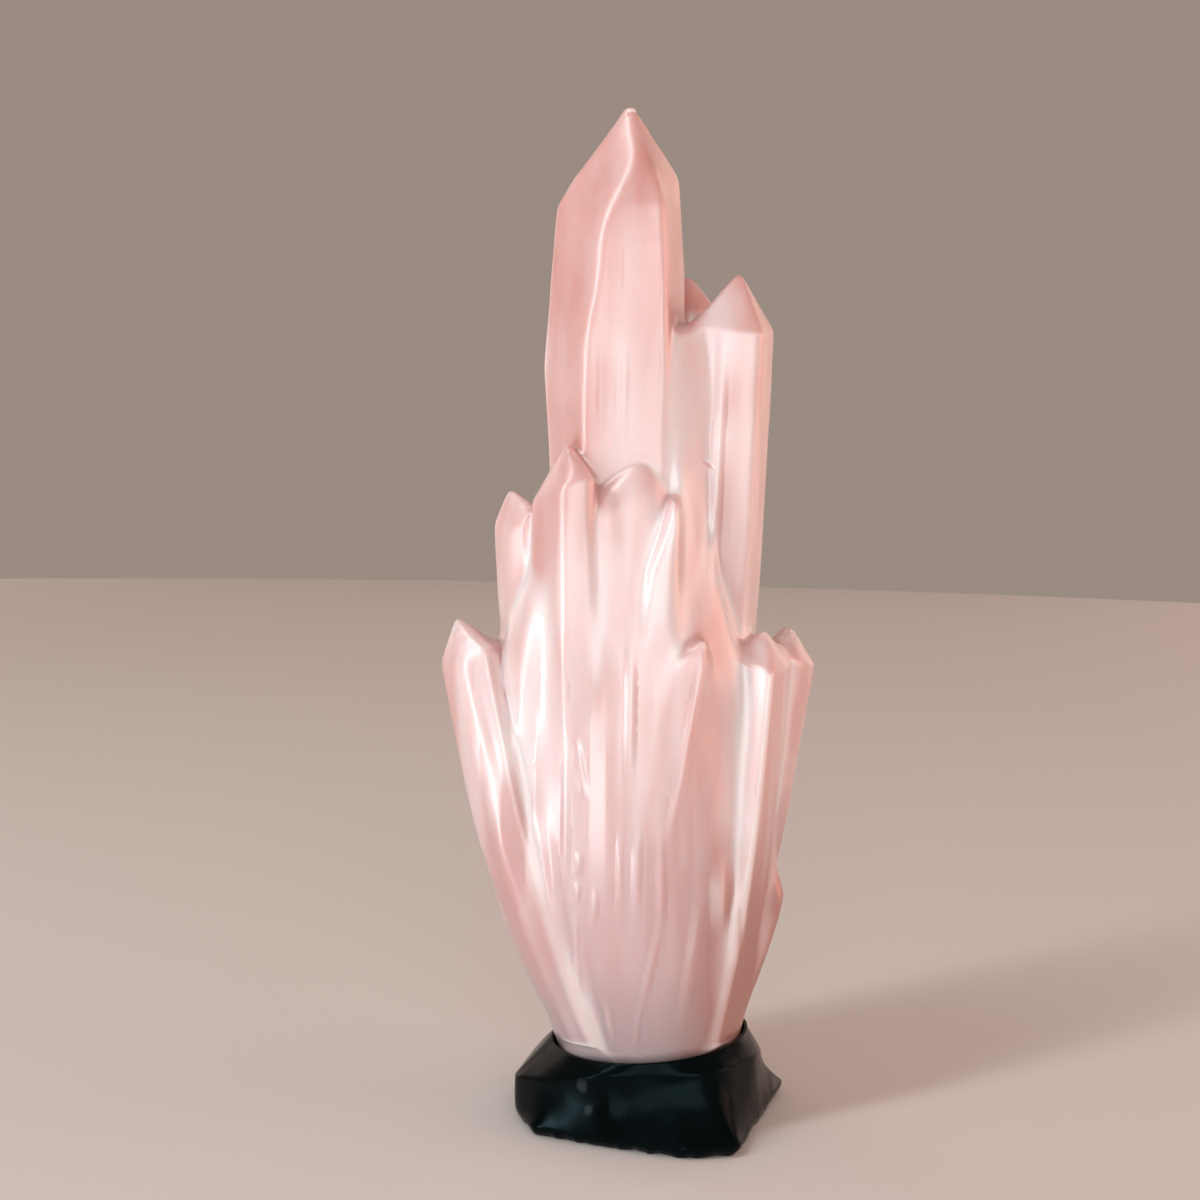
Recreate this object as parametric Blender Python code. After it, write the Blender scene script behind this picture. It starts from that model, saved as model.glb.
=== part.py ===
"""An upright cluster of milky pink quartz points, grown together in one stone and
set in a carved black stand.

Metres, +Z up. The origin is on the table, under the middle of the stone's neck.
The front faces -Y: it has the leaning points and the ribs above the stand.
"""

import math

import bmesh
import bpy
from mathutils import Vector

MM = 0.001

# Overall sizes, in millimetres
TOTAL_HEIGHT = 300.0
NECK_RADIUS = 27.7
ROOT_HEIGHT = 28.0
STONE_FOOT_HEIGHT = 8.4
POCKET_FLOOR_HEIGHT = 8.0
POCKET_CLEARANCE = 0.4

# A quartz prism seldom has six equal faces: this one has a broad front face and
# narrow flanks. The corners run counter-clockwise, in shares of half the width and depth
PRISM_CORNERS = [(-1.0, 0.1), (-0.43, -0.95), (0.75, -1.0), (1.0, -0.1), (0.5, 0.9), (-0.6, 1.0)]

# A point's size at its root, as a share of its shoulder, how far up it bends, and the
# places along it that get a section
ROOT_SHARE = 0.55
BEND_SHARE = 0.38
AXIS_STEPS = [0.0, 0.3, 0.6, 1.0]

# How fast a point reaches its full size, and how late the slant of its shoulder sets in
SWELL_POWER = 0.8
SLANT_POWER = 6

# What a point has where its entry gives nothing else: depth and cap height as shares of its
# width, a slant that differs from point to point, a lean for each millimetre that the tip
# stands off the middle, and a root part of the way out, inside the neck
DEPTH_SHARE = 0.92
CAP_SHARE = 0.75
SLANT_SIZE = 1.5
SLANT_STEPS = (2.1, 1.7)
LEAN_PER_OFFSET = 0.001
ROOT_REACH_SHARE = 0.6
ROOT_REACH_LIMIT = 0.8 * NECK_RADIUS

# One entry for each crystal point, in millimetres: the tip, the width across the
# shoulder, and only what differs from the habit that complete() gives
POINTS = {
    # The tall pair and the points between them
    "main": {"tip": (-11.2, 0, TOTAL_HEIGHT), "wide": 40, "deep": 34, "body": (-14.4, 0), "cap": 26,
             "slant": (5.5, 7), "lean": (0.01, 0), "root": (-6, 0), "twist": 0},
    "right_tall": {"tip": (21.7, 4, 252), "wide": 26, "deep": 24, "body": (20.4, 4), "cap": 16,
                   "slant": (0, 3), "lean": (0.02, 0), "root": (10, 3), "twist": 0},
    "between": {"tip": (8.4, 24, 253.5), "wide": 20, "cap": 14, "lean": (0.03, 0.05), "twist": 44},
    "valley": {"tip": (8, 9, 241), "wide": 15, "deep": 17, "body": (6.5, 7), "cap": 7,
               "root": (4, 2), "lean": (0, 0), "twist": 12},
    # The left flank, front to back
    "front_left": {"tip": (-27.4, -16, 201), "wide": 18.6, "body": (-28.4, -16), "cap": 13.5,
                   "slant": (3.5, 0), "lean": (-0.02, 0), "root": (-16, -14), "twist": 24},
    "left_small": {"tip": (-45.3, 0, 187.2), "wide": 13, "body": (-43, 0), "cap": 8,
                   "slant": (3, 0), "lean": (-0.06, 0), "root": (-18, 0), "twist": 26},
    "left_low": {"tip": (-60, -6, 149.8), "wide": 18, "deep": 20, "body": (-56.1, -5), "cap": 12,
                 "slant": (2.5, 0), "lean": (-0.2, 0), "root": (-21, -4), "twist": 16},
    "left_middle": {"tip": (-37, -15, 168), "wide": 15, "deep": 16, "body": (-41, -15), "cap": 20,
                    "slant": (4, 0), "lean": (-0.1, 0.01), "root": (-17, -12), "twist": 30},
    "left_needle": {"tip": (-30.4, -26, 117), "wide": 8, "cap": 8, "body": (-30, -25),
                    "lean": (-0.04, 0.02), "root": (-16.5, -18.5), "twist": 20},
    "left_sliver": {"tip": (-37.4, -22, 117), "wide": 8, "cap": 8, "body": (-37, -21),
                    "lean": (-0.06, 0), "root": (-19, -16), "twist": 40},
    "left_skirt": {"tip": (-44.5, -16, 103), "wide": 12, "cap": 10, "lean": (-0.18, -0.04),
                   "root": (-21, -12), "twist": 16},
    # The middle of the front
    "front_centre": {"tip": (-4.2, -20, 199.3), "wide": 24, "deep": 20, "body": (-6.9, -20), "cap": 12,
                     "slant": (-4.5, 2), "lean": (-0.01, 0.03), "root": (-4, -14), "twist": 46},
    "front_right": {"tip": (4.6, -26, 186), "wide": 10, "deep": 12, "body": (1.7, -26), "cap": 13,
                    "slant": (5, 0), "lean": (0.01, 0.05), "root": (2, -17), "twist": 4},
    "inner_right": {"tip": (9.5, -14, 199), "wide": 8.5, "deep": 12, "cap": 7, "root": (6, -12),
                    "lean": (0, 0), "twist": 24},
    "front_slat": {"tip": (-16.5, -28, 152), "wide": 9, "deep": 9, "cap": 7, "root": (-10, -20),
                   "lean": (0, 0.08), "twist": 4},
    "front_needle": {"tip": (-9, -30, 148), "wide": 7, "deep": 10, "cap": 9, "root": (-5, -21),
                     "lean": (0.01, 0.08), "twist": 24},
    "front_step": {"tip": (-2.6, -28, 152), "wide": 8, "deep": 9, "cap": 7, "root": (-1, -20),
                   "lean": (0, 0.08), "twist": 6},
    "front_leaning": {"tip": (12.1, -28, 143.4), "wide": 15, "deep": 15, "body": (7.2, -28), "cap": 15,
                      "slant": (6, 2), "lean": (0.06, 0.04), "root": (4, -19), "twist": 26},
    # Slim points low on the front, half sunk in their neighbours
    "rib_far_left": {"tip": (-32.2, -27, 91), "wide": 8, "deep": 10, "cap": 7, "lean": (-0.16, -0.04),
                     "root": (-17.5, -19), "twist": 14},
    "rib_left": {"tip": (-26.5, -30, 104), "wide": 7, "deep": 9, "cap": 7, "lean": (-0.06, 0.02),
                 "root": (-14.5, -21.5), "twist": 30},
    "rib_sparkling": {"tip": (-21.7, -33, 87), "wide": 7, "deep": 9, "cap": 6, "lean": (-0.03, 0),
                      "root": (-12, -23), "twist": 18},
    "rib_short": {"tip": (-17, -33, 75), "wide": 6, "deep": 9, "cap": 5, "lean": (-0.03, -0.04),
                  "root": (-10, -24), "twist": 38},
    "rib_mid_left": {"tip": (-11, -32.5, 103), "wide": 7, "deep": 9, "cap": 7, "lean": (-0.01, 0.05),
                     "root": (-7, -24.5), "twist": 22},
    "rib_mid_right": {"tip": (-4.8, -32.5, 102), "wide": 6.5, "deep": 9, "cap": 7, "lean": (0.01, 0.05),
                      "root": (-3.5, -25), "twist": 10},
    "rib_right": {"tip": (0.8, -32.5, 93), "wide": 7, "deep": 9, "cap": 7, "lean": (0.07, 0.02),
                  "root": (-1.5, -25), "twist": 36},
    "rib_far_right": {"tip": (12, -31, 75), "wide": 11, "deep": 10, "cap": 9, "body": (9, -30),
                      "lean": (0.08, -0.06), "root": (6, -23.5), "twist": 2},
    # The right flank
    "right_sliver": {"tip": (19.5, -17, 142.3), "wide": 7, "cap": 5, "lean": (0.02, -0.01),
                     "root": (10, -13), "twist": 10},
    "right_low": {"tip": (31.2, -8, 147.2), "wide": 18.6, "deep": 20, "body": (32.3, -8), "cap": 10,
                  "lean": (0.1, 0.06), "root": (18, -13), "twist": 22},
    "right_low_back": {"tip": (40, 8, 147.4), "wide": 17.5, "body": (39.6, 8), "cap": 12,
                       "slant": (-2, 0), "lean": (0.14, 0.02), "root": (17, 4), "twist": 8},
    "right_bud": {"tip": (19, -31.5, 81), "wide": 6.5, "deep": 8, "cap": 6, "lean": (0.02, -0.1),
                  "root": (14, -21), "twist": 20},
    # The side that the front hides
    "back_tall": {"tip": (-20, 22, 226), "wide": 21, "cap": 15, "lean": (-0.02, 0.03), "twist": 40},
    "back_right": {"tip": (21, 25, 190), "wide": 17, "cap": 12, "lean": (0.02, 0.06), "twist": 15},
    "back_centre": {"tip": (1, 35, 172), "wide": 18, "cap": 13, "lean": (0, 0.08), "twist": 52},
    "back_left": {"tip": (-38, 22, 158), "wide": 16, "cap": 11, "lean": (-0.08, 0.06), "twist": 5},
    "back_left_low": {"tip": (-52, 15, 128), "wide": 15, "cap": 10, "lean": (-0.18, 0.08), "twist": 33},
    "back_slat": {"tip": (-19, 38, 140), "wide": 15, "cap": 10, "lean": (-0.03, 0.1), "twist": 24},
    "back_right_low": {"tip": (27, 35, 132), "wide": 15, "cap": 10, "lean": (0.09, 0.12), "twist": 47},
}

# A skirt of short points closes the sides and the back above the stand: how far round
# each one stands, counter-clockwise from the right, and how high its tip is
SKIRT_ANGLES = [-8, 16, 38, 60, 80, 101, 122, 143, 163, 183]
SKIRT_HEIGHTS = [88, 100, 82, 108, 92, 104, 84, 110, 90, 101]
SKIRT_WIDTH = 14.0
SKIRT_CAP = 10.0
SKIRT_LEAN = 0.16
SKIRT_TWIST_STEP = 37
HEXAGON_TURN = 60

# The solid root of the stone below the points: height, half width, half depth, and
# how far its middle lies to the left
CORE_SECTIONS = [
    (STONE_FOOT_HEIGHT, 26.4, 25.6, 0.0),
    (22.0, 27.7, 27.0, 0.2),
    (33.0, 31.3, 29.4, 1.5),
    (43.0, 34.6, 31.2, 2.7),
    (54.0, 37.4, 32.6, 3.4),
    (66.0, 39.2, 33.6, 4.2),
    (84.0, 38.6, 33.4, 5.5),
    (104.0, 35.5, 31.0, 6.0),
    (126.0, 29.0, 26.5, 6.5),
    (148.0, 20.0, 19.0, 7.0),
]
CORE_SIDES = 14
CORE_UNEVENNESS = 0.28
CORE_UNEVEN_STEP = 2.6

# The stand, counter-clockwise from its left corner: the foot on the table, and the
# brow where the walls turn in to the rim
FOOT_OUTLINE = [
    (-42, -9), (-34, -25), (-14, -33), (11, -40), (26, -37),
    (35, -10), (44, 17), (31, 35), (5, 42), (-20, 38), (-38, 19),
]
BROW_OUTLINE = [
    (-38, -7, 12.5), (-30, -20.5, 15), (-15, -29.5, 20.4), (14, -30.5, 21.6), (22, -27, 22),
    (33, -9, 20), (36.5, 14, 15), (27, 27, 16.5), (4, 34, 17.5), (-18, 30, 16.5), (-33.5, 16, 14),
]
FOOT_EDGE_HEIGHT = 3.0
FOOT_EDGE_SHARE = 0.985
RIM_RADIUS = 29.8
RIM_HEIGHT = 24.2
RIM_RISE = 2.6

# Linear colours and roughness
STONE_COLOUR = (0.83, 0.58, 0.54)
STONE_ROUGHNESS = 0.22
LACQUER_COLOUR = (0.008, 0.009, 0.010)
LACQUER_ROUGHNESS = 0.18


def clear_scene():
    for obj in list(bpy.data.objects):
        bpy.data.objects.remove(obj)


def make_material(name, colour, roughness, subsurface=0.0):
    material = bpy.data.materials.new(name)
    material.use_nodes = True
    shader = material.node_tree.nodes["Principled BSDF"]
    shader.inputs["Base Color"].default_value = (*colour, 1.0)
    shader.inputs["Roughness"].default_value = roughness
    shader.inputs["Metallic"].default_value = 0.0
    shader.inputs["Subsurface Weight"].default_value = subsurface
    return material


def complete(number, given):
    """Fills in the usual habit of a point: nearly as deep as it is wide, a cap three quarters of its
    width, leaning out from a root that it shares with its neighbours."""
    point = dict(given)
    tip_x, tip_y, _ = point["tip"]
    point.setdefault("body", (tip_x, tip_y))
    point.setdefault("deep", DEPTH_SHARE * point["wide"])
    point.setdefault("cap", CAP_SHARE * point["wide"])
    slant_x = SLANT_SIZE * math.sin(SLANT_STEPS[0] * number)
    slant_y = SLANT_SIZE * math.cos(SLANT_STEPS[1] * number)
    point.setdefault("slant", (slant_x, slant_y))
    point.setdefault("lean", (LEAN_PER_OFFSET * tip_x, LEAN_PER_OFFSET * tip_y))
    out = Vector(point["body"])
    reach = min(ROOT_REACH_SHARE * out.length, ROOT_REACH_LIMIT)
    point.setdefault("root", tuple(out.normalized() * reach))
    return point


def skirt_points():
    """The short points round the sides and the back, each leaning out over the stand."""
    skirt = {}
    for number, (degrees, height) in enumerate(zip(SKIRT_ANGLES, SKIRT_HEIGHTS)):
        turn = math.radians(degrees)
        core_wide, core_deep, core_left = core_size_at(height)
        out_x = math.cos(turn)
        out_y = math.sin(turn)
        skirt[f"skirt_{number}"] = {
            "tip": (core_wide * out_x - core_left, core_deep * out_y, height),
            "wide": SKIRT_WIDTH,
            "cap": SKIRT_CAP,
            "lean": (SKIRT_LEAN * out_x, SKIRT_LEAN * out_y),
            "twist": SKIRT_TWIST_STEP * number % HEXAGON_TURN,
        }
    return skirt


def prism_section(twist):
    """The irregular hexagon turned by twist degrees, scaled back to one unit of half width and depth."""
    turn = math.radians(twist)
    turned = [
        (x * math.cos(turn) - y * math.sin(turn), x * math.sin(turn) + y * math.cos(turn))
        for x, y in PRISM_CORNERS
    ]
    left = min(x for x, _ in turned)
    right = max(x for x, _ in turned)
    front = min(y for _, y in turned)
    back = max(y for _, y in turned)
    return [
        (2 * (x - left) / (right - left) - 1, 2 * (y - front) / (back - front) - 1)
        for x, y in turned
    ]


def axis_at(point, share):
    """The point's axis, a curve from its root to its shoulder that ends along its lean."""
    shoulder_height = point["tip"][2] - point["cap"]
    bend_height = ROOT_HEIGHT + BEND_SHARE * (shoulder_height - ROOT_HEIGHT)
    root = Vector((*point["root"], ROOT_HEIGHT))
    shoulder = Vector((*point["body"], shoulder_height))
    rise = shoulder_height - bend_height
    bend = Vector((shoulder.x - point["lean"][0] * rise, shoulder.y - point["lean"][1] * rise, bend_height))
    return (1 - share) ** 2 * root + 2 * share * (1 - share) * bend + share**2 * shoulder


def loft(name, rings, apex=None):
    """Closed mesh through rings of corners, with a flat foot and a flat or pointed top."""
    mesh = bpy.data.meshes.new(name)
    body = bmesh.new()
    loops = [[body.verts.new(Vector(corner) * MM) for corner in ring] for ring in rings]
    sides = len(rings[0])
    for low, high in zip(loops, loops[1:]):
        for i in range(sides):
            j = (i + 1) % sides
            body.faces.new((low[i], low[j], high[j], high[i]))
    body.faces.new(loops[0])
    if apex is None:
        body.faces.new(loops[-1])
    else:
        top = body.verts.new(Vector(apex) * MM)
        for i in range(sides):
            body.faces.new((loops[-1][i], loops[-1][(i + 1) % sides], top))
    bmesh.ops.triangulate(body, faces=body.faces[:])
    bmesh.ops.recalc_face_normals(body, faces=body.faces[:])
    body.to_mesh(mesh)
    body.free()
    obj = bpy.data.objects.new(name, mesh)
    bpy.context.scene.collection.objects.link(obj)
    return obj


def make_point(name, point):
    """One crystal: a hexagonal prism that widens from its root and follows its axis, under six faces
    that meet at the tip. The slant tilts the line where prism and cap meet."""
    section = prism_section(point["twist"])
    rings = []
    for share in AXIS_STEPS:
        centre = axis_at(point, share)
        size = ROOT_SHARE + (1 - ROOT_SHARE) * math.sin(share * math.pi / 2) ** SWELL_POWER
        slant = share**SLANT_POWER
        rings.append([
            (
                centre.x + x * size * point["wide"] / 2,
                centre.y + y * size * point["deep"] / 2,
                centre.z + slant * (x * point["slant"][0] + y * point["slant"][1]),
            )
            for x, y in section
        ])
    return loft("point_" + name, rings, point["tip"])


def core_size_at(height):
    """Half width, half depth and shift to the left of the core at a height between two of its sections."""
    for low, high in zip(CORE_SECTIONS, CORE_SECTIONS[1:]):
        if height <= high[0]:
            share = (height - low[0]) / (high[0] - low[0])
            return [a + share * (b - a) for a, b in zip(low[1:], high[1:])]
    return CORE_SECTIONS[-1][1:]


def core_ring(height, half_wide, half_deep, left):
    """A core section: a ring whose sides differ a little in length, as grown faces do."""
    corners = []
    for i in range(CORE_SIDES):
        angle = math.tau * (i + CORE_UNEVENNESS * math.sin(CORE_UNEVEN_STEP * i)) / CORE_SIDES
        corners.append((half_wide * math.cos(angle) - left, half_deep * math.sin(angle), height))
    return corners


def set_as_helper(obj, collection):
    """Moves an object into a collection of shapes that only help to make another one."""
    for user in list(obj.users_collection):
        user.objects.unlink(obj)
    collection.objects.link(obj)
    obj.hide_render = True
    obj.display_type = "WIRE"


def make_cluster(material):
    """All the points and the core, united into the one stone that they are."""
    cluster = loft("crystal_cluster", [core_ring(*section) for section in CORE_SECTIONS])
    cluster.data.materials.append(material)
    growth = bpy.data.collections.new("growth")
    bpy.context.scene.collection.children.link(growth)
    points = {**POINTS, **skirt_points()}
    for number, (name, given) in enumerate(points.items()):
        set_as_helper(make_point(name, complete(number, given)), growth)
    union = cluster.modifiers.new("grown_together", "BOOLEAN")
    union.operation = "UNION"
    union.solver = "EXACT"
    union.operand_type = "COLLECTION"
    union.collection = growth
    return cluster


def rim_ring(radius, height, rise):
    """A ring over the foot's corners, in their directions, that climbs to the right by its rise."""
    corners = []
    for x, y in FOOT_OUTLINE:
        reach = math.hypot(x, y)
        corners.append((radius * x / reach, radius * y / reach, height + rise * x / reach))
    return corners


def make_stand(material):
    """The block: a foot edge, faceted walls, a brow, and a rim round the pocket that holds the stone."""
    foot = [(x, y, 0.0) for x, y in FOOT_OUTLINE]
    foot_edge = [(FOOT_EDGE_SHARE * x, FOOT_EDGE_SHARE * y, FOOT_EDGE_HEIGHT) for x, y in FOOT_OUTLINE]
    rim = rim_ring(RIM_RADIUS, RIM_HEIGHT, RIM_RISE)
    stand = loft("stand", [foot, foot_edge, BROW_OUTLINE, rim])
    stand.data.materials.append(material)
    pocket_sections = [(POCKET_FLOOR_HEIGHT, *CORE_SECTIONS[0][1:]), *CORE_SECTIONS[1:3]]
    cutter = loft("pocket_cutter", [
        core_ring(height, wide + POCKET_CLEARANCE, deep + POCKET_CLEARANCE, left)
        for height, wide, deep, left in pocket_sections
    ])
    cutter.hide_render = True
    cutter.display_type = "WIRE"
    pocket = stand.modifiers.new("pocket", "BOOLEAN")
    pocket.operation = "DIFFERENCE"
    pocket.solver = "EXACT"
    pocket.object = cutter
    return stand


def main():
    clear_scene()
    stone = make_material("milky_rose_quartz", STONE_COLOUR, STONE_ROUGHNESS, subsurface=1.0)
    lacquer = make_material("black_lacquer", LACQUER_COLOUR, LACQUER_ROUGHNESS)
    make_cluster(stone)
    make_stand(lacquer)


main()
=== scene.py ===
import math

import bpy
import numpy as np
from mathutils import Matrix, Vector


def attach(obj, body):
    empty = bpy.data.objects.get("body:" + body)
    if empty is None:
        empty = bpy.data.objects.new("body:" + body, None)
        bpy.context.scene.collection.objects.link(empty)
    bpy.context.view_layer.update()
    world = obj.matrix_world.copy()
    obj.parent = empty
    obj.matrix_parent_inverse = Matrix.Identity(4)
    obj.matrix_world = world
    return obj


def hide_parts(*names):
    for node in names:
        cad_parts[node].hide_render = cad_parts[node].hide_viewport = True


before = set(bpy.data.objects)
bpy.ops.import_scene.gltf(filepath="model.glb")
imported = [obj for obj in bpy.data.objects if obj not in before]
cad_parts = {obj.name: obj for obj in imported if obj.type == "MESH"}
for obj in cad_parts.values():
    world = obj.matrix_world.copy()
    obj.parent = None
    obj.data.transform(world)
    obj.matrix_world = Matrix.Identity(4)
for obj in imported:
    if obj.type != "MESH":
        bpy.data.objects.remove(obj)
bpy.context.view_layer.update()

# Milky rose quartz points grown together, standing in a black lacquered block.
# Sizes are millimetres until a mesh is written.
mm = 0.001


def linear(hexColour):
    # sRGB hex to linear: c / 12.92 up to 0.04045, ((c + 0.055) / 1.055) ^ 2.4 above it
    parts = [int(hexColour[i:i + 2], 16) / 255 for i in (1, 3, 5)]
    return tuple(c / 12.92 if c <= 0.04045 else ((c + 0.055) / 1.055) ** 2.4 for c in parts) + (1.0,)


def addNode(tree, kind, inputs=None, **settings):
    # a node with its settings; an input is a value, or another node's output to link
    node = tree.nodes.new("ShaderNode" + kind)
    for name, value in settings.items():
        setattr(node, name, value)
    for name, value in (inputs or {}).items():
        if isinstance(value, bpy.types.NodeSocket):
            tree.links.new(value, node.inputs[name])
        else:
            node.inputs[name].default_value = value
    return node


def addObject(name, data):
    obj = bpy.data.objects.new(name, data)
    bpy.context.scene.collection.objects.link(obj)
    return obj


# Camera: looks along +Y from half a metre away, a little above the middle
view = {
    "place": (-17.3, -500.8, 191.1),
    "pitch": 4.1,   # degrees down
    "roll": 1.2,   # degrees, which leans the picture's top to the right
    "lens": 50.4,
    "sensor": 36.0,
}


def makeCamera(v):
    # turned up from straight down by 90 degrees less the pitch, after the roll
    data = bpy.data.cameras.new("camera")
    data.lens = v["lens"]
    data.sensor_width = v["sensor"]
    data.sensor_fit = "HORIZONTAL"
    camera = addObject("camera", data)
    tilt = Matrix.Rotation(math.radians(90 - v["pitch"]), 4, "X")
    roll = Matrix.Rotation(math.radians(v["roll"]), 4, "Z")
    camera.matrix_world = Matrix.Translation(Vector(v["place"]) * mm) @ (tilt @ roll)
    bpy.context.scene.camera = camera


makeCamera(view)
print("camera set")


# What the stone's points have in common
habit = {
    "corners": [(-1.0, 0.1), (-0.43, -0.95), (0.75, -1.0), (1.0, -0.1), (0.5, 0.9), (-0.6, 1.0)],
    "deep": 0.92,   # depth over width
    "slant": 1.5,   # how far the shoulder tilts along x and y
    "slantPace": (2.1, 1.7),   # how quickly those change from point to point
    "rootHeight": 28.0,
    "rootShare": 0.55,   # size at the root over size at the shoulder
    "rootSpread": 0.6,   # a root's distance from the middle over its shoulder's
    "rootReach": 22.16,   # the furthest out that a root starts
    "growth": 0.8,   # below 1, a point is near its full size early
    "bellyRise": 1.6,   # above 1, its belly sits high
    "bend": 0.38,   # how far up the axis bends most
    "edge": 0.35,   # how soft an edge is
    "ridge": 1.1,   # width of the worn strip along each ridge
    "alike": (-0.9, 0.9999),   # limits for the cosine between two faces
    "shortSide": 0.05,   # a side no longer than this has no direction
}

# tip, body (middle of the shoulder) and root are places, and corners the shoulder's own, from the left
# round by the front; wide is the size across the shoulder, cap how far the tip stands above it, lean the
# way off upright per millimetre of rise, twist a turn of the outline, belly a swelling, and blunt the
# height at which the tip is cut
points = {
    "rightTall": dict(
        tip=(21.7, -1.5, 253.5), body=(20.5, 3), lean=(0.02, 0), root=(10, 3), belly=0.02, ridge=1.7,
        corners=[(8, -9.6, 237.5), (16.6, -12, 235.5), (28.2, -11.4, 234), (33.2, 3, 236.5),
            (28, 16, 237), (13, 16, 239)]),
    "between": dict(tip=(7.2, 21, 258), wide=21, cap=15, lean=(0.03, 0.05), twist=44, edge=0.9),
    "valley": dict(
        tip=(7, -6, 262), body=(6, 0), root=(5, -1), lean=(0, 0), edge=1.5, blunt=236,
        corners=[(-3, -6, 235), (-1, -18, 231), (12.5, -13, 232), (15, -4, 236), (13, 18, 238),
            (3, 18, 238)]),
    "frontWeb": dict(
        tip=(-18, -20, 194), body=(-17, -20), root=(-10, -16), lean=(-0.01, 0.03), edge=1.6,
        corners=[(-27, -17, 186), (-23, -24.6, 185), (-12, -25.6, 185), (-6, -18, 187), (-12, -8, 188),
            (-23, -8, 188)]),
    "frontLeft": dict(
        tip=(-27.7, -17, 203), body=(-28.5, -15), lean=(-0.02, 0.03), root=(-16, -14), ridge=2.8,
        corners=[(-38.4, -13, 184), (-29, -26.5, 189), (-19.2, -25.6, 191.5), (-19, -8, 190),
            (-28, -4, 189), (-37, -6, 186)]),
    "leftSmall": dict(
        tip=(-45.3, 0, 188.5), body=(-43, 0), lean=(-0.06, 0.07), root=(-18, -7), ridge=0.4,
        corners=[(-49.9, 2, 177), (-45.4, -7, 175.5), (-39.5, -9.8, 179), (-36, -7, 183), (-38, 6, 182),
            (-46, 7, 178)]),
    "leftLow": dict(
        tip=(-60, -6, 151), body=(-56.6, -5), lean=(-0.2, 0.18), root=(-21, -19), ridge=2.6,
        corners=[(-65.2, -4.5, 135), (-58.4, -14, 136.5), (-48, -16.6, 141), (-45, 0, 140),
            (-56, 6, 138), (-63.5, 3, 136)]),
    "leftMiddle": dict(
        tip=(-37, -15, 170), body=(-41, -14), lean=(-0.09, 0.02), root=(-17, -12), edge=1.8,
        corners=[(-48.6, -10, 141), (-43.5, -20, 145), (-31.5, -21.8, 163), (-30, -16, 166),
            (-34, -8, 162), (-44, -4, 148)]),
    "frontCentre": dict(
        tip=(-4.5, -19.5, 201), body=(-6, -18), lean=(-0.01, 0.04), root=(-4, -14), edge=1.3, ridge=1,
        corners=[(-17.5, -22, 190), (-14, -24, 187), (-5.5, -25, 187.5), (4.6, -20, 182), (3, -10, 186),
            (-16, -10, 190)]),
    "frontRight": dict(
        tip=(3.4, -23.4, 188), body=(1.5, -24), lean=(0.01, 0.05), root=(2, -17), edge=0.7, ridge=0.3,
        corners=[(-3.4, -26.4, 167), (4.4, -26.2, 181), (6.6, -20, 182), (3, -14, 184), (-2, -15, 182),
            (-4, -22, 172)]),
    "innerRight": dict(
        tip=(3.5, -16, 205), body=(8.5, -12), root=(7, -14), lean=(0, 0.08), edge=1.4,
        corners=[(2, -20.5, 190), (8, -20.3, 187), (12.5, -16.5, 180), (13, -8, 190), (11, -3, 196),
            (4, -3, 196)]),
    "frontLeaning": dict(
        tip=(12.6, -27.8, 148), body=(7.5, -24), lean=(0.17, 0.03), root=(-6, -21), ridge=1.2,
        corners=[(3, -28.2, 137.5), (12.6, -30.4, 140), (15.2, -23, 134), (12, -16, 136),
            (2, -17, 130)]),
    "recess": dict(
        tip=(14, -11.5, 184), body=(16, -16), lean=(0.04, 0.03), root=(10, -17), edge=1.4,
        corners=[(4.5, -25.5, 146), (12.5, -26.2, 144), (27.2, -19.2, 129), (26, -12, 141),
            (6, -12, 146)]),
    "rightLow": dict(
        tip=(31.2, -9, 148.5), body=(31, -8), lean=(0.06, 0.07), root=(18, -14), belly=0.06, ridge=0.8,
        corners=[(22.8, -15.4, 139), (29.4, -20.4, 138), (32.4, -22, 137), (39.2, -9, 138.5),
            (38, 1, 140), (31, 4, 139), (23.5, -1, 138)]),
    "rightLowBack": dict(
        tip=(40.2, 7, 150), body=(41.5, 7), lean=(0.14, 0.02), root=(17, 4), blunt=147.4,
        corners=[(34, -3, 141), (43, -4, 138), (48.6, 4, 136.5), (48.4, 13, 136), (42, 18, 139),
            (34, 15, 142)]),
    "backTall": dict(tip=(-20, 22, 226), wide=21, cap=15, lean=(-0.02, 0.03), twist=40),
    "backRight": dict(tip=(21, 25, 190), wide=17, cap=12, lean=(0.02, 0.06), twist=15),
    "backCentre": dict(tip=(1, 35, 172), wide=18, cap=13, lean=(0, 0.08), twist=52),
    "backLeft": dict(tip=(-38, 22, 158), wide=16, cap=11, lean=(-0.08, 0.06), twist=5),
    "backLeftLow": dict(tip=(-52, 15, 128), wide=15, cap=10, lean=(-0.18, 0.08), twist=33),
    "backSlat": dict(tip=(-19, 38, 140), wide=15, cap=10, lean=(-0.03, 0.1), twist=24),
    "backRightLow": dict(tip=(27, 35, 132), wide=15, cap=10, lean=(0.09, 0.12), twist=47),
}

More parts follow.
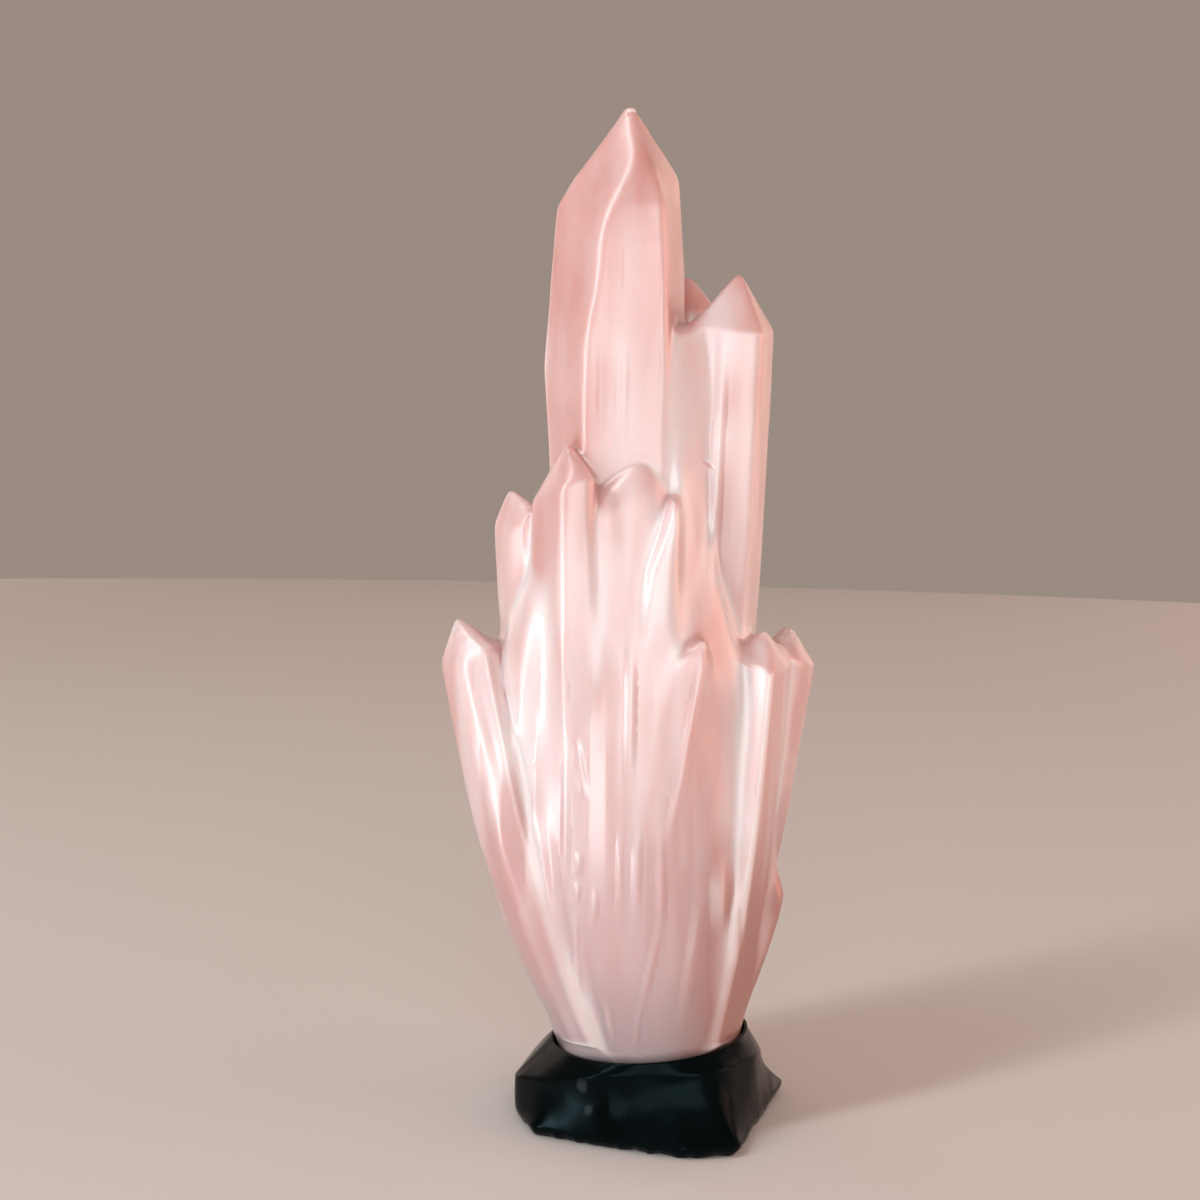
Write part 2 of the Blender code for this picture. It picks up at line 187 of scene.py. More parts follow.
# The tallest point: its six ridges from the block to the tip as (height, x, y). The front left one
# strays to the right where the cap cuts it, and the front ones meet below the tip
tallest = {
    "left": [(28, -20, 0), (110, -29, 0), (195, -33.9, 0), (223, -35.7, 0), (250, -34.6, 0),
        (271, -33.2, 0), (279.5, -28.4, -1.5), (300.5, -12.6, -3)],
    "frontLeft": [(28, -14, -12), (110, -21, -16.5), (214, -23.4, -18.4), (231, -23, -18.4),
        (238, -22.3, -18.4), (244.5, -20.7, -18.3), (251, -19.9, -18.1), (258, -19.7, -17.8),
        (264, -18.7, -17.2), (269, -17, -16.4), (274.5, -14.4, -15), (280, -11.6, -13.2),
        (284, -10.4, -11.8), (290.6, -11.2, -8.2), (300.5, -11.9, -4)],
    "frontRight": [(28, 2, -12), (110, 2.5, -17), (200, 0.9, -18.2), (244, 0.2, -18.1),
        (258, -0.4, -17.6), (270, -1.2, -16.2), (280, -5, -13.2), (290.6, -9, -8.2), (300.5, -11, -4)],
    "right": [(28, 7, 0), (110, 8, 2), (214, 7.4, 3), (251, 6.3, 4), (280, 4.1, 2), (300.5, -10.4, -3)],
    "backRight": [(28, 0, 12), (214, -1.5, 17.5), (276, -3.5, 16), (300.5, -11, -1)],
    "backLeft": [(28, -14, 12), (214, -26, 17), (268, -24.5, 15.5), (300.5, -12, -1)],
}
tallestShape = {
    "tip": (-11.5, -1.0, 300.0),
    "blunt": 0.6,   # how much of the tip is knocked off
    "edge": 0.35,
    "ridge": 2.1,   # width of the worn strip along its ridges
    "rows": (24.0, 304.0, 0.5),   # heights at which its outline is worked out: first, last, apart
    "smoothing": 10,   # rounds, along each ridge
    "box": [(-38, -21, 25), (10, 20, 301)],
}

# Short points that close the sides and the back above the block
skirt = {
    "angles": [-8, 16, 38, 60, 80, 101, 122, 143, 163, 183],   # degrees round from +X
    "heights": [88, 100, 82, 108, 92, 104, 84, 110, 90, 101],
    "wide": 14.0,
    "cap": 19.0,
    "lean": 0.16,
    "twist": (37, 60),   # degrees from one to the next, and where they start again
}

# The root between the points: height, half width, half depth, shift to the left
core = {
    "sections": np.array([
        (8.4, 26.4, 25.6, 0), (22, 27.7, 27, 0.2), (33, 31.3, 29.4, 1.5), (43, 34.6, 31.2, 2.7),
        (54, 37.4, 32.6, 3.4), (66, 39.2, 33.8, 4.2), (84, 38.6, 34.4, 5.5), (104, 36.5, 34, 6),
        (126, 32, 31.5, 6.5), (148, 25, 27.5, 7.5), (172, 17, 21, 8.5),
    ]),
    "smoothing": (1.0, 90),   # spacing and rounds, so that the table leaves no kinks
    "sides": 14,
    "uneven": 0.28,   # how far its sides stray, and how quickly that changes
    "unevenPace": 2.6,
    "edge": 0.6,
    "box": [(-48, -38, 8.4), (40, 38, 172.0)],
}

stone = {
    "step": 0.6,   # spacing of the grid that first finds the surface
    "reach": 9.0,   # how far from a point it still softens its neighbours
    "margin": (1.0, 3.0),   # room in a point's box: round it, and below it
    "gridMargin": (4.0, 3.0),   # and in the grid: at the low sides, at the ends
    "weld": 0.7,   # softness where two points meet near the top
    "lowWeld": 1.3,   # added below, where the points have grown together
    "lowWeldHeights": (188, 145),
    "valleyWeld": 2.0,   # added in the valley between the two tallest points
    "valley": ((8, -6, 205), (8, 12, 42)),   # its middle, and how far it goes each way
    "mostPower": 60.0,   # of e, in the sums
    "triangles": 188000,
    "flute": (0.07, 4.4, 75.0),   # flutes along each point: height, width, length
    "fineFlute": (0.4, 2.3, 40.0),   # finer ones: share of that height, times as narrow, length
    "wave": (0.25, 13.0, 32.5),   # slow waviness: height, width, length
    "growthStep": (0.12, 6.0, 12.0),   # growth steps across each point, the same way
    "ribEnd": 0.45,   # share of a rib's length over which it dies away
    "ribCrest": 0.45,   # how round its crest is
    "ribNear": 4.0,   # how close to the surface the grid needs the ribs
    "bandDepth": (-7, -13),   # bands fade in over this stretch of y
    "chip": (1.7, 0.8, 0.5),   # size of the chips, of the finer ones, and those ones' share
    "chipFade": 0.4,   # share of a ragged height over which they set in
    "chipProud": -0.2,   # chips stand no prouder than this
    "slopeStep": 0.05,   # distance that a slope is measured over
    "leastSlope": 0.2,   # least slope squared in a move onto the surface
    "stride": 0.5,   # longest such move, in grid steps
    "creviceReach": 3.0,   # how far out from the surface a crevice is felt
    "wornReach": 1.5,   # how far in from it a ridge is felt
    "wornFacing": (0.5, 0.3),   # ridges turn white, for wear and as a painted highlight, if they face up less than this, and the fade
}

seeds = {"tallest": 90, "fineFlutes": 50, "chips": 5, "fineChips": 6, "waves": 7, "growthSteps": 8,
         "foot": 3, "fineFoot": 4, "brush": 11, "fineBrush": 12}

# Bands and grooves on the front: top x and height, foot x and height, how proud, half as wide
bands = [
    (-28, 150, -26.2, 112, 0.9, 1.8), (-26.2, 118, -25.4, 74, 0.7, 1.5),
    (-24, 120, -20.1, 99, -0.9, 1.8), (-15, 170, -14.2, 66, 0.6, 4.8),
    (-8.3, 153, -7.9, 98, 0.9, 2), (-10.4, 99, -9.8, 64, 0.7, 1.4), (-5.4, 99, -5.2, 62, 0.9, 1.8),
    (1, 94, 2, 62, 0.9, 1.8), (2, 68, -3.4, 38, 0.8, 1.7), (-14.7, 47, -10.4, 25, 0.7, 1.4),
    (-3.2, 45, -4.9, 25, 0.6, 1.3), (-31.6, 97, -25.6, 50, 0.8, 2.6), (-22.4, 70, -22, 44, 0.6, 1.3),
    (-21.7, 86, -21.8, 78, 0.6, 1.4), (-22, 77, -22.1, 69, 0.5, 1.2), (-16.8, 76, -17.5, 62, 0.5, 1.4),
    (13.4, 75, 8, 28, 0.8, 2.4), (19.4, 85, 19.6, 60, 1.1, 3.6), (24, 76, 23, 52, 0.8, 1.6),
    (-20.5, 60, -18, 34, 0.5, 2), (5.5, 88, 6.5, 46, 0.5, 2.4), (12.6, 146, 3.2, 86, 1, 2),
    (-58.4, 146, -44.6, 95, 0.35, 2.6), (10, 198.5, 16.5, 194, -0.5, 1.2),
    (17, 244, 15, 150, 0.9, 2.2), (-13.8, 261, -13.4, 239, 0.25, 1),
    (-15.3, 241, -14.4, 192, -0.25, 1.1), (-18.4, 236, -17.6, 192, 0.3, 1.6),
    (-11.8, 236, -11.2, 196, 0.3, 1.5), (-5.8, 236, -5.4, 196, -0.2, 2),
    (-0.8, 266, 0.4, 200, 0.25, 1.4),
]

# Ribs round the sides and the back that fan up out of the block: degrees round from +X, top, foot,
# how proud and half as wide. In the fan each is a middle value, how far it strays, and how quickly
ribFan = {
    "count": 14,
    "degrees": (4, 13),   # of the first, and from one to the next
    "top": (112, 26, 2.3),
    "foot": (48, 9, 1.7),
    "proud": (1.1, 0.4, 3.1),
    "half": (4.2, 0.8, 2.9),
}


def stray(values, wave, number):
    # middle + range * wave(pace * number)
    middle, reach, pace = values
    return middle + reach * wave(pace * number)


def fanRib(fan, number):
    first, apart = fan["degrees"]
    top, foot = stray(fan["top"], math.sin, number), stray(fan["foot"], math.cos, number)
    proud, half = stray(fan["proud"], math.sin, number), stray(fan["half"], math.cos, number)
    return first + apart * number, top, foot, proud, half


ribs = [(-163, 128, 55, 0.8, 4.5), (-150, 152, 58, 1.1, 4.5), (-27, 118, 50, 0.9, 4.5),
        (-12, 104, 46, 1.0, 4.5)] + [fanRib(ribFan, number) for number in range(ribFan["count"])]

# Damage: the tallest tip is knocked blunt and some caps are ragged. How deep, and over what height
ragged = {
    "tallest": (0.35, 4), "leftSmall": (0.1, 8), "leftLow": (0.15, 10), "rightLow": (0.2, 7),
    "rightLowBack": (0.35, 9), "rightTall": (0.2, 4), "frontLeft": (0.12, 8),
}


def smooth(t):
    # 0 to 1 with level ends: t * t * (3 - 2 t)
    t = np.clip(t, 0, 1)
    return t * t * (3 - 2 * t)


cubeCorners = [(i, j, k) for i in (0, 1) for j in (0, 1) for k in (0, 1)]

# Large odd numbers that stir a place and a seed into a hash
placePrimes, seedPrime, stirPrime = (73856093, 19349663, 83492791), 2654435761, 1274126177
word, halfWord = 0xFFFFFFFF, 0xFFFF


def noise(x, y, z, seed):
    # value noise from -1 to 1: a hash of whole numbers at a cube's eight corners, joined by smooth steps
    whole = [np.floor(c) for c in (x, y, z)]
    part = [smooth(c - w) for c, w in zip((x, y, z), whole)]
    base = [w.astype(np.int64) for w in whole]
    total = 0
    for corner in cubeCorners:
        h = seed * seedPrime
        for b, d, prime in zip(base, corner, placePrimes):
            h = h ^ ((b + d) * prime)
        h = (h ^ (h >> 13)) * stirPrime & word   # its upper bits stirred into the lower ones
        h = h ^ (h >> 16)
        weight = 1
        for d, t in zip(corner, part):
            weight = weight * (t if d else 1 - t)
        total = total + weight * ((h & halfWord) / (halfWord / 2) - 1)
    return total


def smoothAlong(values, rounds):
    # each value averaged with its neighbours along the last axis: (last + 2 * own + next) / 4
    for _ in range(rounds):
        values[..., 1:-1] = (values[..., :-2] + 2 * values[..., 1:-1] + values[..., 2:]) / 4
    return values


def smoothTable(table, spacing, rounds):
    # the table's columns at even heights, smoothed
    rows = np.arange(table[0, 0], table[-1, 0] + spacing, spacing)
    columns = np.array([np.interp(rows, table[:, 0], column) for column in table.T[1:]])
    return rows, smoothAlong(columns, rounds)


coreRows, coreColumns = smoothTable(core["sections"], *core["smoothing"])


def coreSize(height):
    # half width, half depth and shift of the root at a height
    return [np.interp(height, coreRows, column) for column in coreColumns]


def skirtPoints():
    # tips on the root's outline at their heights: (wide * cos - left, deep * sin)
    made = {}
    turn, full = skirt["twist"]
    for number, (degrees, height) in enumerate(zip(skirt["angles"], skirt["heights"])):
        wide, deep, left = coreSize(height)
        outX, outY = math.cos(math.radians(degrees)), math.sin(math.radians(degrees))
        made[f"skirt{number}"] = dict(
            tip=(wide * outX - left, deep * outY, height), wide=skirt["wide"], cap=skirt["cap"],
            lean=(skirt["lean"] * outX, skirt["lean"] * outY), twist=turn * number % full)
    return made


def outline(twist, wide, deep):
    # the habit's hexagon turned by twist, then stretched to fill wide by deep
    a = math.radians(twist)
    turn = np.array([[math.cos(a), math.sin(a)], [-math.sin(a), math.cos(a)]])
    corners = np.array(habit["corners"]) @ turn
    low, high = corners.min(axis=0), corners.max(axis=0)
    return (2 * (corners - low) / (high - low) - 1) * (wide / 2, deep / 2)


def outward(a, b):
    # the level direction that points out of an outline's side from a to b
    out = np.array([b[1] - a[1], a[0] - b[0]])
    return out / np.maximum(np.hypot(*out), habit["shortSide"])


def wornStrip(first, second, corner, wide):
    # a half-space that takes a strip off the ridge between two faces: it looks halfway between them and
    # lies wide / 2 * tan(half the angle between them) inside the corner
    alike = np.clip((first * second).sum(axis=0), *habit["alike"])
    out = (first + second) / np.sqrt(2 + 2 * alike)
    return out, (out * corner).sum(axis=0) - wide / 2 * np.sqrt((1 - alike) / (1 + alike))


def softMost(parts, soft):
    # soft maximum: soft * ln(sum of e^(part / soft))
    total = 0
    for part in parts:
        total = total + np.exp(np.minimum(part / soft, stone["mostPower"]))
    return soft * np.log(total)


def planPoint(name, number, given):
    # a point as half-spaces n . p <= d: prism sides in its outline's plane, cap faces through the tip.
    # One without corners of its own has the habit's outline
    tip = np.array(given["tip"], float)
    if "corners" in given:
        corners = np.array(given["corners"], float)
        body, root = np.array(given["body"], float), np.array(given["root"], float)
        flat = corners[:, :2] - body
        shoulder = corners[:, 2].mean()
    else:
        body = tip[:2]
        far = np.hypot(*body)
        root = body / far * min(habit["rootSpread"] * far, habit["rootReach"])
        wide, deep = given["wide"], habit["deep"] * given["wide"]
        flat = outline(given["twist"], wide, deep)
        shoulder = tip[2] - given["cap"]
        paceX, paceY = habit["slantPace"]
        lift = (flat[:, 0] / (wide / 2) * math.sin(paceX * number)
                + flat[:, 1] / (deep / 2) * math.cos(paceY * number))
        corners = np.column_stack([flat + body, shoulder + habit["slant"] * lift])
    lean = np.array(given["lean"], float)
    pull = root - (body + lean * (habit["rootHeight"] - shoulder))
    walls = [outward(a, b) for a, b in zip(flat, np.roll(flat, -1, 0))]
    faces = np.cross(np.roll(corners, -1, 0) - corners, tip - corners)
    faces /= np.linalg.norm(faces, axis=1)[:, None]
    ridge = given.get("ridge", habit["ridge"])
    sides = [(wall, wall @ a) for wall, a in zip(walls, flat)]
    sides += [wornStrip(walls[i - 1], walls[i], flat[i], ridge) for i in range(len(flat))]
    caps = [(face, face @ tip) for face in faces]
    caps += [wornStrip(faces[i - 1], faces[i], tip, ridge) for i in range(len(flat))]
    around, below = stone["margin"]
    half = np.ptp(flat, axis=0) / 2
    low = np.minimum(corners[:, :2].min(axis=0), root - half) - around
    high = np.maximum(corners[:, :2].max(axis=0), root + half) + around
    box = np.array([(*low, habit["rootHeight"] - below), (*high, tip[2] + around)])
    return dict(sides=sides, caps=caps, body=body, lean=lean, pull=pull, shoulder=shoulder, box=box,
                tip=tip, edge=given.get("edge", habit["edge"]), belly=given.get("belly", 0),
                blunt=given.get("blunt", tip[2]), seed=number, ragged=ragged.get(name))


def pointField(p, x, y, z, fine):
    # distance outside a point's faces. share runs 0 to 1 up the axis, which strays from its lean by
    # pull * (1 - share)^2; the outline grows with the sine of share
    up = np.clip((z - habit["rootHeight"]) / (p["shoulder"] - habit["rootHeight"]), 0, 1)
    b = 2 * habit["bend"]
    share = (np.sqrt(b * b + 4 * (1 - b) * up) - b) / (2 * (1 - b))
    size = habit["rootShare"] + (1 - habit["rootShare"]) * np.sin(share * math.pi / 2) ** habit["growth"]
    size = size + p["belly"] * np.sin(math.pi * share ** habit["bellyRise"])
    away = (1 - share) ** 2
    u = x - (p["body"][0] + p["lean"][0] * (z - p["shoulder"]) + p["pull"][0] * away)
    v = y - (p["body"][1] + p["lean"][1] * (z - p["shoulder"]) + p["pull"][1] * away)
    sides = [nx * u + ny * v - d * size for (nx, ny), d in p["sides"]]
    caps = [nx * x + ny * y + nz * z - d for (nx, ny, nz), d in p["caps"]]
    ends = [habit["rootHeight"] - z + 0 * (x + y), z - p["blunt"] + 0 * (x + y)]
    found = softMost(sides + caps + ends, p["edge"])
    return found + relief(p, u / size, v / size, x, y, z) if fine else found


def tallestPlan():
    # the tallest point's outline at any height, from its ridges. Each side keeps how much less the field
    # rises across it than its level distance does, 1 / sqrt(1 + drift^2)
    shape = tallestShape
    rows = np.arange(*shape["rows"])
    ridges = [np.array(ridge).T for ridge in tallest.values()]
    corners = np.array([[np.interp(rows, height, side) for side in (x, y)] for height, x, y in ridges])
    corners = smoothAlong(corners, shape["smoothing"])
    after = np.roll(corners, -1, 0)
    walls = [outward(a, b) for a, b in zip(corners, after)]
    planes = [(wall, (wall * a).sum(axis=0), (a + b) / 2) for wall, a, b in zip(walls, corners, after)]
    planes += [(*wornStrip(walls[i - 1], walls[i], corners[i], shape["ridge"]), corners[i])
               for i in range(len(walls))]
    sides = []
    for out, far, touch in planes:
        drift = (np.gradient(out, rows, axis=1) * touch).sum(axis=0) - np.gradient(far, rows)
        sides.append((*out, far, 1 / np.sqrt(1 + drift ** 2)))
    return dict(rows=rows, sides=sides, box=np.array(shape["box"]), seed=seeds["tallest"], tip=shape["tip"],
                ragged=ragged["tallest"])


def tallestField(p, x, y, z, fine):
    # distance outside the outline at a place's own height, less the more the face it is nearest to leans
    parts = [z - p["tip"][2] + tallestShape["blunt"] + 0 * (x + y)]
    for outX, outY, far, rise in p["sides"]:
        nx, ny, d, k = [np.interp(z, p["rows"], c) for c in (outX, outY, far, rise)]
        parts.append((nx * x + ny * y - d) * k)
    found = softMost(parts, tallestShape["edge"])
    return found + relief(p, x, y, x, y, z) if fine else found


def relief(p, u, v, x, y, z):
    # flutes run along each point, and its cap is chipped where it is ragged
    high, wide, long = stone["flute"]
    fineShare, narrow, fineLong = stone["fineFlute"]
    flutes = noise(u / wide, v / wide, z / long, p["seed"])
    fine = noise(u * narrow / wide, v * narrow / wide, z / fineLong, p["seed"] + seeds["fineFlutes"])
    found = high * (flutes + fineShare * fine)
    if p["ragged"]:
        deep, tall = p["ragged"]
        size, fineSize, fineShare = stone["chip"]
        worn = smooth((z - p["tip"][2] + tall) / (stone["chipFade"] * tall))
        chips = noise(x / size, y / size, z / size, seeds["chips"])
        fine = noise(x / fineSize, y / fineSize, z / fineSize, seeds["fineChips"])
        found = found + deep * worn * np.maximum(chips + fineShare * fine, stone["chipProud"])
    return found


def coreField(x, y, z):
    # the root: an uneven many-sided tub whose half sizes follow the section table
    wide, deep, left = coreSize(z)
    steps = np.arange(core["sides"])
    turns = math.tau * (steps + core["uneven"] * np.sin(core["unevenPace"] * steps)) / core["sides"]
    corners = np.column_stack([np.cos(turns), np.sin(turns)])
    parts = [core["sections"][0, 0] - z + 0 * (x + y), z - core["sections"][-1, 0] + 0 * (x + y)]
    for a, b in zip(corners, np.roll(corners, -1, 0)):
        out = outward(a, b)
        scale = 1 / np.hypot(out[0] / wide, out[1] / deep)
        parts.append((out[0] * (x + left) / wide + out[1] * y / deep - out @ a) * scale)
    return softMost(parts, core["edge"])


def softness(x, y, z):
    # how gently shapes meet at a place
    top, bottom = stone["lowWeldHeights"]
    middle, size = stone["valley"]
    valley = 1
    for c, m, r in zip((x, y, z), middle, size):
        valley = valley * np.exp(-((c - m) / r) ** 2)
    low = smooth((top - z) / (top - bottom))
    return stone["weld"] + stone["lowWeld"] * low + stone["valleyWeld"] * valley


def weldShare(found, soft):
    # what a shape adds to the weld: e^(-field / soft), less what is left of it at the reach
    least = np.exp(-stone["reach"] / soft)
    return np.maximum(np.exp(np.minimum(-found / soft, stone["mostPower"])) - least, 0)


def weld(total, soft):
    # the joined field: -soft * ln(sum of the shares)
    return -soft * np.log(total + np.exp(-stone["reach"] / soft))


def tent(off, height, top, foot, proud, half):
    # proud * (1 - distance / half), with a rounded crest, dying away at both ends
    rise = np.maximum(1 - np.sqrt(off ** 2 + stone["ribCrest"] ** 2) / half, 0)
    fade = stone["ribEnd"] * (top - foot)
    return proud * rise * smooth((top - height) / fade) * smooth((height - foot) / fade)


def ribHeight(x, y, z):
    # the sum of the bands on the front and the ribs round the rest
    wide, deep, left = coreSize(z)
    turn = np.arctan2(y, x + left)
    first, last = stone["bandDepth"]
    front = smooth((first - y) / (first - last))
    total = np.zeros(len(x))
    for topX, top, footX, foot, proud, half in bands:
        middle = topX + (footX - topX) * (top - z) / (top - foot)
        near = (z < top) & (z > foot) & (np.abs(x - middle) < half) & (y < first)
        total[near] += front[near] * tent((x - middle)[near], z[near], top, foot, proud, half)
    for degrees, top, foot, proud, half in ribs:
        near = (z < top) & (z > foot)
        off = turn[near] - math.radians(degrees)
        off = ((off + math.pi) % math.tau - math.pi) * (wide[near] + deep[near]) / 2
        total[near] += tent(off, z[near], top, foot, proud, half)
    return total


def stoneGrid(shapes):
    # the joined field on a grid, with each shape worked out only near itself
    side, end = stone["gridMargin"]
    low = np.min([s["box"][0, :2] for s, _ in shapes], axis=0) - side
    low = np.append(low, core["sections"][0, 0] - end)
    high = np.max([s["box"][1] for s, _ in shapes], axis=0) + end
    axes = [np.arange(a, b, stone["step"], dtype=np.float32) for a, b in zip(low, high)]
    total = np.zeros([len(a) for a in axes], np.float32)
    for s, field in shapes:
        span = [slice(*np.searchsorted(a, (near - stone["reach"], far + stone["reach"])))
                for a, near, far in zip(axes, *s["box"])]
        x, y, z = axes[0][span[0], None, None], axes[1][None, span[1], None], axes[2][None, None, span[2]]
        total[tuple(span)] += weldShare(field(s, x, y, z, False), softness(x, y, z))
    x, y, z = axes[0][:, None, None], axes[1][None, :, None], axes[2][None, None, :]
    joined = weld(total, softness(x, y, z)).astype(np.float32)
    near = np.argwhere(np.abs(joined) < stone["ribNear"])
    joined[tuple(near.T)] -= ribHeight(*[a[i] for a, i in zip(axes, near.T)])
    return axes, joined


def levelSurface(axes, field):
    # one corner in each cell the level passes through, at the mean of the crossings on its edges,
    # and one quad round each grid edge whose ends lie on opposite sides
    inside = field < 0
    count = sum(inside[i:i - 1 or None, j:j - 1 or None, k:k - 1 or None].astype(np.uint8)
                for i, j, k in cubeCorners)
    offsets = np.array(cubeCorners)
    active = (count > 0) & (count < len(offsets))
    cells = np.argwhere(active)
    index = np.full(active.shape, -1, np.int32)
    index[active] = np.arange(len(cells), dtype=np.int32)
    values = [field[tuple((cells + o).T)] for o in offsets]
    place = np.zeros((len(cells), 3))
    hits = np.zeros(len(cells))
    for a in range(len(offsets)):
        for b in range(a + 1, len(offsets)):
            if np.abs(offsets[a] - offsets[b]).sum() != 1:
                continue
            crossed = (values[a] < 0) != (values[b] < 0)
            t = np.where(crossed, values[a] / np.where(crossed, values[a] - values[b], 1), 0)[:, None]
            place += crossed[:, None] * (offsets[a] + t * (offsets[b] - offsets[a]))
            hits += crossed
    start = np.array([a[0] for a in axes])
    verts = start + (cells + place / hits[:, None]) * stone["step"]
    quads = []
    for axis in range(3):
        first = [slice(None)] * 3
        second = [slice(None)] * 3
        first[axis], second[axis] = slice(None, -1), slice(1, None)
        edges = np.argwhere(inside[tuple(first)] != inside[tuple(second)])
        p, q = [(1, 2), (2, 0), (0, 1)][axis]
        ring = []
        for dp, dq in ((1, 1), (0, 1), (0, 0), (1, 0)):
            cell = edges.copy()
            cell[:, p] -= dp
            cell[:, q] -= dq
            ring.append(index[tuple(cell.T)])
        ring = np.column_stack(ring)
        quads.append(np.where(inside[tuple(edges.T)][:, None], ring, ring[:, ::-1]))
    return verts, np.concatenate(quads)


def stoneField(shapes, verts, fine=True):
    # the joined field at any places, with its relief
    x, y, z = verts.T
    soft = softness(x, y, z)
    total = np.zeros(len(verts))
    for s, field in shapes:
        low, high = s["box"]
        near = np.all((verts > low - stone["reach"]) & (verts < high + stone["reach"]), axis=1)
        total[near] += weldShare(field(s, *verts[near].T, fine), soft[near])
    joined = weld(total, soft) - ribHeight(x, y, z)
    if fine:
        for name, seed in (("wave", "waves"), ("growthStep", "growthSteps")):
            high, wide, long = stone[name]
            joined = joined + high * noise(x / wide, y / wide, z / long, seeds[seed])
    return joined


def gradient(shapes, verts, value):
    # slope of the field by a small step along each axis: (field there - field here) / step
    step = stone["slopeStep"]
    return np.column_stack([(stoneField(shapes, verts + way) - value) / step for way in np.eye(3) * step])


def settle(shapes, verts, rounds):
    # Newton's move onto the level: place - field * slope / slope^2, at most part of a grid step
    longest = stone["stride"] * stone["step"]
    for _ in range(rounds):
        value = stoneField(shapes, verts)
        slope = gradient(shapes, verts, value)
        move = value[:, None] * slope / np.maximum((slope ** 2).sum(axis=1), stone["leastSlope"])[:, None]
        length = np.linalg.norm(move, axis=1)[:, None]
        verts = verts - move * np.minimum(1, longest / np.maximum(length, 1e-9))
    return verts


def writeMesh(name, verts, faces):
    # millimetres to metres
    mesh = bpy.data.meshes.new(name)
    mesh.from_pydata((verts * mm).tolist(), [], faces)
    mesh.validate()
    mesh.shade_smooth()
    return mesh


def keepModifiers(obj):
    # the object's mesh as its modifiers leave it
    graph = bpy.context.evaluated_depsgraph_get()
    mesh = bpy.data.meshes.new_from_object(obj.evaluated_get(graph))
    mesh.name = obj.name
    obj.modifiers.clear()
    old, obj.data = obj.data, mesh
    bpy.data.meshes.remove(old)


def writeValue(mesh, name, values):
    attribute = mesh.attributes.new(name, "FLOAT", "POINT")
    attribute.data.foreach_set("value", values.astype(np.float32))


def stoneShapes():
    # every shape in the stone, with the function that gives its field
    given = {**points, **skirtPoints()}
    shapes = [(planPoint(name, number, p), pointField) for number, (name, p) in enumerate(given.items())]
    shapes.append((tallestPlan(), tallestField))
    shapes.append((dict(box=np.array(core["box"])), lambda s, x, y, z, fine: coreField(x, y, z)))
    return shapes


def makeStone():
    # the surface found on the grid, thinned, then moved back onto the level with its relief
    shapes = stoneShapes()
    axes, field = stoneGrid(shapes)
    verts, quads = levelSurface(axes, field)
    print("stone grid", field.shape, "corners", len(verts))
    verts = settle(shapes, verts, 1)
    obj = addObject("quartzPoints", writeMesh("quartzPoints", verts, quads.tolist()))
    thin = obj.modifiers.new("thin", "DECIMATE")
    thin.ratio = min(1, stone["triangles"] / (2 * len(quads)))
    keepModifiers(obj)
    mesh = obj.data
    flat = np.empty(3 * len(mesh.vertices), np.float32)
    mesh.vertices.foreach_get("co", flat)
    verts = settle(shapes, flat.reshape(-1, 3).astype(float) / mm, 2)
    mesh.vertices.foreach_set("co", (verts * mm).astype(np.float32).ravel())
    slope = gradient(shapes, verts, stoneField(shapes, verts))
    normals = slope / np.linalg.norm(slope, axis=1)[:, None]
    # crevice: how much sooner than in the open the stone is met again, which paints shade into the
    # crevices; edge: how soon it ends below, which paints the ridges white for wear and as a highlight
    out, into = stone["creviceReach"], stone["wornReach"]
    writeValue(mesh, "creviceShade", np.clip(1 - stoneField(shapes, verts + out * normals, False) / out, 0, 1))
    worn = np.clip(1 + stoneField(shapes, verts - into * normals, False) / into, 0, 1)
    most, fade = stone["wornFacing"]
    writeValue(mesh, "edge", worn * smooth((most - normals[:, 2]) / fade))
    mesh.shade_smooth()
    mesh.normals_split_custom_set_from_vertices(normals.tolist())
    print("stone triangles", len(mesh.polygons))
    return obj


quartz = makeStone()


